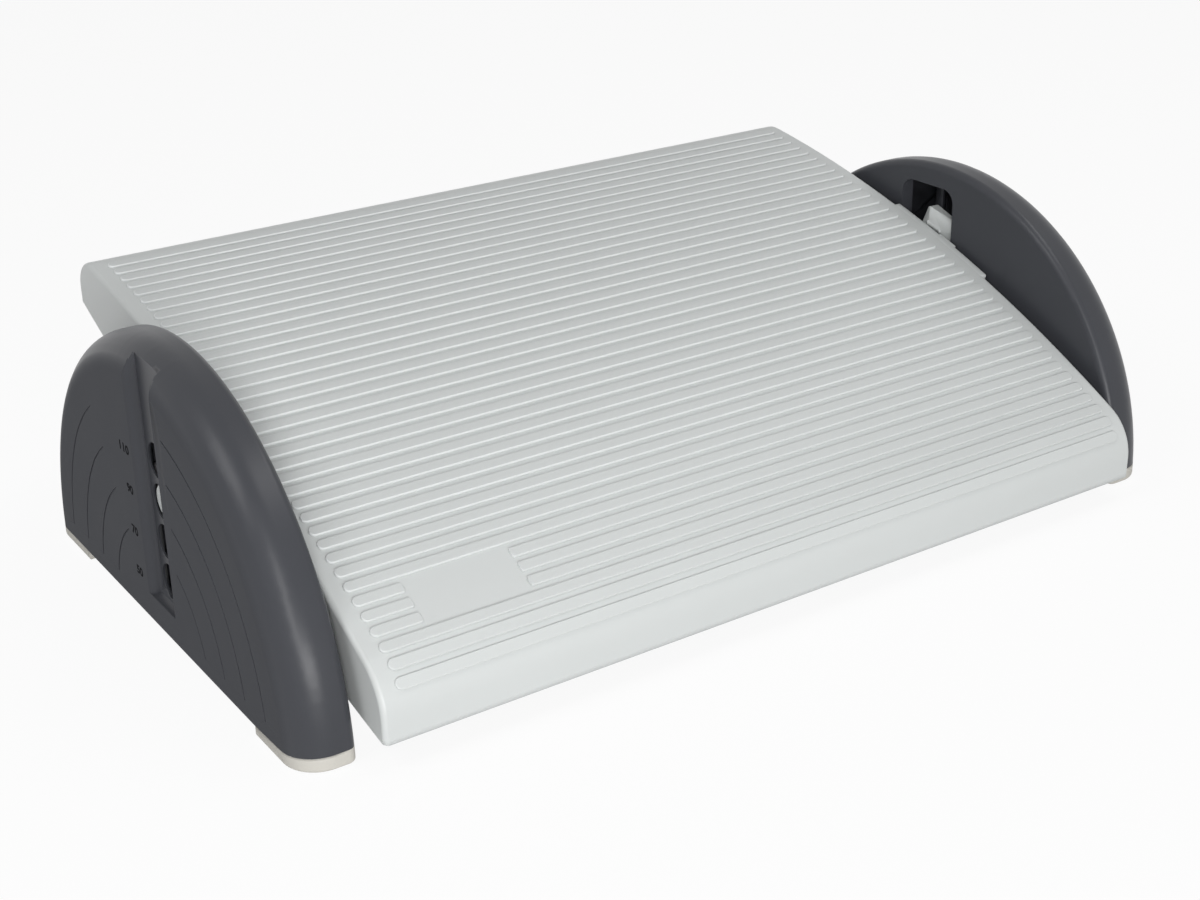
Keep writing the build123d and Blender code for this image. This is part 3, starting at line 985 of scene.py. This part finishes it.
    def wear(self, mesh: bpy.types.Mesh) -> None:
        """Mark a rib's rounded upper edge, where a paler colour is painted on as a highlight.

        Args:
            mesh: the rib on its flat ground.
        """
        highlight_marks = mesh.attributes.new(PAINTED_HIGHLIGHT_MARK, "FLOAT", "POINT")
        top = self.rib_height - self.wear_slack
        # Points on the rounded upper edge get the painted highlight.
        for vertex in mesh.vertices:
            rounded = top - self.rib_round < vertex.co.z < top
            highlight_marks.data[vertex.index].value = float(rounded)

    def fade_wear(self, mesh: bpy.types.Mesh) -> None:
        """Weaken the painted edge highlight towards the nose.

        Args:
            mesh: the ribs in their places.
        """
        highlight_marks = mesh.attributes[PAINTED_HIGHLIGHT_MARK]
        # The painted highlight is faintest at the nose and full towards the rear.
        for vertex in mesh.vertices:
            share = (vertex.co.y - self.wear_front) / self.wear_length
            highlight_marks.data[vertex.index].value *= min(max(share, self.least_wear), 1.0)

    def ribs(self, tree: RibTree, beside_pad: bool, material: bpy.types.Material) -> bpy.types.Object:
        """Set ribs along the tread, either the full ones or the short ones beside the bare pad.

        Args:
            tree: the geometry nodes that place them.
            beside_pad: which of the two kinds.
            material: their finish.

        Returns:
            All ribs of that kind as one plain mesh.
        """
        end = self.half_width - self.rib_margin
        pad_low = self.pad_centre - self.pad_length / 2
        pad_high = self.pad_centre + self.pad_length / 2
        if beside_pad:
            form = self.rib_bar(-end, pad_low, [Side.RIGHT])
            other = self.rib_bar(pad_high, end, [Side.LEFT])
            start = len(form.points)
            form.points += other.points
            form.faces += [[start + number for number in face] for face in other.faces]
        else:
            form = self.rib_bar(-end, end)
        name = "pad_ribs" if beside_pad else "tread_ribs"
        bar = Workshop.stand(f"{name}_bar", form.mesh(f"{name}_bar"))
        Workshop.soften(bar.data, self.rib_crisp)
        self.wear(bar.data)
        count = self.ribs_to_rear + self.ribs_to_front + 1
        fine = self.rib_path_steps
        path = [
            (0.0, *self.on_tread((self.ribs_to_rear - step / fine) * self.rib_pitch + self.rib_shift))
            for step in range((count - 1) * fine + 1)
        ]
        mesh = bpy.data.meshes.new(name)
        mesh.from_pydata(path, [(step, step + 1) for step in range(len(path) - 1)], [])
        host = Workshop.stand(name, mesh)
        tree.grow(
            host,
            {
                "Rib": bar,
                "Count": count,
                "Pad First": self.ribs_to_rear - self.pad_ribs[1],
                "Pad Last": self.ribs_to_rear - self.pad_ribs[0],
                "Beside Pad": beside_pad,
                "Finish": material,
            },
        )
        bpy.data.objects.remove(bar)
        Workshop.even_normals(host)
        Workshop.settle(host)
        self.fade_wear(host.data)
        return host

    def lug(self, side: Side) -> bpy.types.Object:
        """Thickened side of the plate round its pivot, with the small shelf at its top.

        Args:
            side: which side of the plate.

        Returns:
            The lug as a plain mesh.
        """
        form = Form()
        upper, lower = [], []
        for step in range(self.lug_steps + 1):
            along = self.lug_offset - self.lug_half + 2 * self.lug_half * step / self.lug_steps
            above = math.sqrt(self.crown**2 - along**2) + self.rise - self.crown - self.lug_inset
            upper.append(self.in_plate(along, above))
            below = -self.mid_drop
            for _ in range(self.lug_tries):
                y, z = self.in_plate(along, below)
                below += (self.skirt_level(y) - z) * math.cos(self.tilt)
            lower.append(self.in_plate(along, below + self.lug_inset))
        outline = upper + lower[::-1]
        reach = self.half_width + self.lug_proud
        self._prism(form, outline, side, self.half_width - self.edge, reach)
        half = self.shelf_length / 2
        top = self.rise - self.shelf_drop
        low = top - self.shelf_thickness
        corners = [
            self.in_plate(self.shelf_offset + along, above)
            for along, above in ((-half, top), (half, top), (half, low), (-half, low))
        ]
        self._prism(form, corners, side, reach - self.shelf_root, reach + self.shelf_proud)
        piece = Workshop.stand(f"{side.word}_lug", form.mesh(f"{side.word}_lug"))
        Workshop.round_edges(piece, self.lug_round)
        Workshop.settle(piece)
        Workshop.soften(piece.data, self.shell_crisp)
        return piece

    @staticmethod
    def _prism(form: Form, outline: Sequence[Point2], side: Side, low_x: float, high_x: float) -> None:
        """Add a side-view outline drawn out between two places along X.

        Args:
            form: the form that it is added to.
            outline: its side-view points in order.
            side: the side of the footrest.
            low_x: its inner end, counted from the middle.
            high_x: its outer end, counted from the middle.
        """
        inner = form.row([(side.value * low_x, y, z) for y, z in outline])
        outer = form.row([(side.value * high_x, y, z) for y, z in outline])
        form.strip(inner, outer, closed=True)
        form.face(inner)
        form.face(outer)

    def webs(self) -> bpy.types.Object:
        """Crossed stiffening webs under the tread.

        Returns:
            All webs as one plain mesh.
        """
        form = Form()
        half = self.web / 2
        root = self.wall - self.web_root
        foot = self.wall + self.web_depth
        upper = self.line(root)
        lower = self.line(foot)
        for x in self.web_places:
            left, right = x - half, x + half
            rows = []
            for place, outline in ((left, upper), (left, lower), (right, lower), (right, upper)):
                rows.append(form.row([(place, y, z) for y, z in outline]))
            for first, second in zip(rows, rows[1:]):
                form.strip(first, second)
        for y in (*self.cross_places, self.middle_cross):
            is_middle = y == self.middle_cross
            reach = self.short_cross if is_middle else self.half_width - root
            top, low = self._under(y, root), self._under(y, foot)
            front, back = y - half, y + half
            rows = []
            for place, level in ((front, top), (front, low), (back, low), (back, top)):
                rows.append(form.row([(-reach, place, level), (reach, place, level)]))
            for first, second in zip(rows, rows[1:]):
                form.strip(first, second)
            if is_middle:
                for end in (0, 1):
                    form.face([row[end] for row in rows])
        piece = Workshop.stand("tread_webs", form.mesh("tread_webs"))
        Workshop.soften(piece.data, self.web_crisp)
        return piece

    def _under(self, y: float, inset: float) -> float:
        """Height of the crown's line at a place, set in from the outside."""
        return self.centre[1] + math.sqrt((self.crown - inset) ** 2 - (y - self.centre[0]) ** 2)

    def build(self, shop: PaintShop) -> None:
        """Make and dress the whole tread plate.

        Args:
            shop: where the finish comes from.
        """
        material = shop.get(Paint.TREAD)
        tree = RibTree()
        pieces = [self.shell()]
        pieces += [self.ribs(tree, beside_pad, material) for beside_pad in (False, True)]
        pieces.append(self.webs())
        pieces += [self.lug(side) for side in Side]
        for piece in pieces:
            Workshop.dress(piece, "plate", material, Paint.TREAD.value.slot)
        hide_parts("foot_plate")


@dataclass
class SidePanel:
    """One side panel: its two halves, its feet, its screws and its height numbers."""

    side: Side
    crisp_angle: float = 24.0
    ink_depth: float = 0.04 * MM
    numbers: tuple[tuple[str, float, float], ...] = (
        ("110", 23.1 * MM, 88.8 * MM),
        ("90", 22.2 * MM, 68.7 * MM),
        ("70", 22.9 * MM, 47.4 * MM),
        ("50", 23.4 * MM, 26.3 * MM),
    )
    number_height: float = 4.6 * MM
    number_advance: float = 3.7 * MM
    number_weight: float = 0.03
    number_steps: int = 4

    @staticmethod
    def span(values: Sequence[float]) -> Point2:
        """Middle and width of a run of values."""
        low, high = min(values), max(values)
        return ((high + low) / 2, high - low)

    def number(self, text: str, y: float, z: float) -> bpy.types.Object:
        """One height number, flat on the panel's outer face.

        Args:
            text: its digits.
            y: its middle, from the front to the rear.
            z: its middle height.

        Returns:
            The number as a plain mesh.
        """
        curve = bpy.data.curves.new("number", "FONT")
        curve.body = text
        curve.align_x = "CENTER"
        curve.align_y = "CENTER"
        half_depth = 0.5
        curve.extrude = half_depth
        curve.offset = self.number_weight
        curve.resolution_u = self.number_steps
        lettered = Workshop.stand(f"{self.side.word}_number_{text}", curve)
        graph = bpy.context.evaluated_depsgraph_get()
        mesh = bpy.data.meshes.new_from_object(lettered.evaluated_get(graph))
        name = lettered.name
        bpy.data.objects.remove(lettered)
        middle_x, width = self.span([vertex.co.x for vertex in mesh.vertices])
        middle_y, height = self.span([vertex.co.y for vertex in mesh.vertices])
        sign = self.side.value
        wide = self.number_advance * len(text) / width
        tall = self.number_height / height
        for vertex in mesh.vertices:
            across, up, out = vertex.co
            vertex.co = (
                sign * (PANEL_FACE + out / half_depth * self.ink_depth),
                y + sign * (across - middle_x) * wide,
                z + (up - middle_y) * tall,
            )
        Workshop.tidy(mesh)
        return Workshop.stand(name, mesh)

    def build(self, shop: PaintShop) -> None:
        """Make and dress the whole panel.

        Args:
            shop: where the finishes come from.
        """
        word = self.side.word
        for node in ("outer_shell", "inner_cover"):
            CarriedPiece(f"{word}_{node}", "base", Paint.PANEL, self.crisp_angle).build(shop)
        for node in ("front_foot", "rear_foot"):
            CarriedPiece(f"{word}_{node}", "base", Paint.FOOT, self.crisp_angle).build(shop)
        CarriedPiece(f"{word}_cover_screws", "base", Paint.SCREW).build(shop)
        for text, y, z in self.numbers:
            piece = self.number(text, y, z)
            Workshop.dress(piece, "base", shop.get(Paint.NUMBER), Paint.NUMBER.value.slot)


@dataclass
class LockGroup:
    """One side's bearing, pin, spring, lever and guide shoe."""

    side: Side

    def build(self, shop: PaintShop) -> None:
        """Make and dress the lock's pieces.

        Args:
            shop: where the finishes come from.
        """
        word = self.side.word
        places = (
            ("guide_shoe", "carriage", Paint.INNER),
            ("bearing_block", "plate", Paint.INNER),
            ("bearing_screws", "plate", Paint.SCREW),
            ("spring_cap", "plate", Paint.INNER),
            ("lock_spring", "plate", Paint.SPRING),
            ("lock_pin", f"{word}_lock", Paint.TREAD),
            ("release_lever", f"{word}_lock", Paint.TREAD),
        )
        for node, body, paint in places:
            CarriedPiece(f"{word}_{node}", body, paint).build(shop)


@dataclass(frozen=True)
class Softbox:
    """One soft lamp: where it hangs, the point that it faces, its width and height, and its watts."""

    name: str
    place: Point3
    aim: Point3
    size: Point2
    power: float

    def hang(self) -> None:
        """Put the lamp into the scene."""
        lamp = bpy.data.lights.new(self.name, "AREA")
        lamp.shape = "RECTANGLE"
        lamp.size, lamp.size_y = self.size
        lamp.energy = self.power
        made = bpy.data.objects.new(self.name, lamp)
        made.location = self.place
        toward = Vector(self.aim) - Vector(self.place)
        made.rotation_mode = "QUATERNION"
        made.rotation_quaternion = toward.to_track_quat("-Z", "Y")
        bpy.context.scene.collection.objects.link(made)


@dataclass
class Studio:
    """Pale floor, soft light and the camera at the photograph's view."""

    camera_place: Point3 = (-0.50041, -0.73622, 0.43255)
    azimuth: float = math.radians(-33.761)
    elevation: float = math.radians(24.355)
    roll: float = math.radians(-0.974)
    lens: float = 56.456
    sensor: float = 36.0
    floor_half: float = 6.0
    floor_colour: Colour = (0.9, 0.9, 0.9)
    floor_glow: float = 0.92
    world_light: float = 0.2
    lamps: tuple[Softbox, ...] = (
        Softbox("front box", (-0.5, -1.7, 0.2), (0.0, -0.05, 0.06), (0.9, 0.2), 15.0),
        Softbox("strip box", (-0.85, -1.25, 0.75), (-0.2, -0.1, 0.06), (0.2, 0.9), 7.0),
        Softbox("left box", (-1.1, -0.1, 1.3), (0.1, 0.0, 0.06), (0.6, 0.6), 6.0),
        Softbox("top box", (0.5, -0.3, 1.4), (0.3, 0.0, 0.08), (1.1, 0.3), 5.0),
    )

    def floor(self) -> None:
        """Lay a plain pale floor that keeps a soft shadow."""
        form = Form()
        size = self.floor_half
        form.face(form.row([(-size, -size, 0.0), (size, -size, 0.0), (size, size, 0.0), (-size, size, 0.0)]))
        piece = Workshop.stand("floor", form.mesh("floor"))
        recipe = Recipe("floor_paper")
        lit = recipe.node("ShaderNodeBsdfDiffuse", None, {"Color": (*self.floor_colour, 1.0)})
        glow = recipe.node("ShaderNodeEmission", None, {"Color": WHITE, "Strength": 1.0})
        mixed = recipe.node(
            "ShaderNodeMixShader",
            None,
            {0: self.seen(recipe) * self.floor_glow, 1: lit.outputs[0], 2: glow.outputs[0]},
        )
        recipe.node("ShaderNodeOutputMaterial", None, {"Surface": mixed.outputs[0]})
        piece.data.materials.append(recipe.material)

    @staticmethod
    def seen(tree: Tree) -> Flow:
        """Pick out the rays that show the background directly, in gloss or through glass.

        Args:
            tree: the tree that asks.

        Returns:
            1 for such rays and 0 for all others.
        """
        path = tree.node("ShaderNodeLightPath")
        seen = tree.flow(path, "Is Camera Ray").maximum(tree.flow(path, "Is Glossy Ray"))
        return seen.maximum(tree.flow(path, "Is Transmission Ray"))

    def world(self) -> None:
        """Light the scene evenly from all round, on a white background."""
        world = bpy.data.worlds.new("studio")
        world.use_nodes = True
        bpy.context.scene.world = world
        tree = Tree(world.node_tree)
        light = tree.node("ShaderNodeBackground", None, {"Color": WHITE, "Strength": self.world_light})
        white = tree.node("ShaderNodeBackground", None, {"Color": WHITE, "Strength": 1.0})
        mixed = tree.node(
            "ShaderNodeMixShader", None, {0: self.seen(tree), 1: light.outputs[0], 2: white.outputs[0]}
        )
        tree.node("ShaderNodeOutputWorld", None, {"Surface": mixed.outputs[0]})

    def camera(self) -> None:
        """Set the camera where the photograph was taken from."""
        lens = bpy.data.cameras.new("photo view")
        lens.sensor_fit = "HORIZONTAL"
        lens.sensor_width = self.sensor
        lens.lens = self.lens
        made = bpy.data.objects.new("photo view", lens)
        back = Vector(
            (
                math.sin(self.azimuth) * math.cos(self.elevation),
                -math.cos(self.azimuth) * math.cos(self.elevation),
                math.sin(self.elevation),
            )
        )
        made.rotation_mode = "QUATERNION"
        level = (-back).to_track_quat("-Z", "Y")
        made.rotation_quaternion = level @ Quaternion((0.0, 0.0, 1.0), self.roll)
        made.location = self.camera_place
        bpy.context.scene.collection.objects.link(made)
        bpy.context.scene.camera = made

    def build(self) -> None:
        """Set up the whole studio."""
        self.floor()
        self.world()
        for lamp in self.lamps:
            lamp.hang()
        self.camera()
        bpy.context.scene.view_settings.view_transform = "Standard"


def main() -> None:
    """Build the footrest's looks piece by piece, then the studio."""
    logging.basicConfig(level=logging.INFO, format="%(message)s")
    shop = PaintShop()
    TreadPlate().build(shop)
    for side in Side:
        SidePanel(side).build(shop)
        LockGroup(side).build(shop)
    Studio().build()


if __name__ == "__main__":
    main()
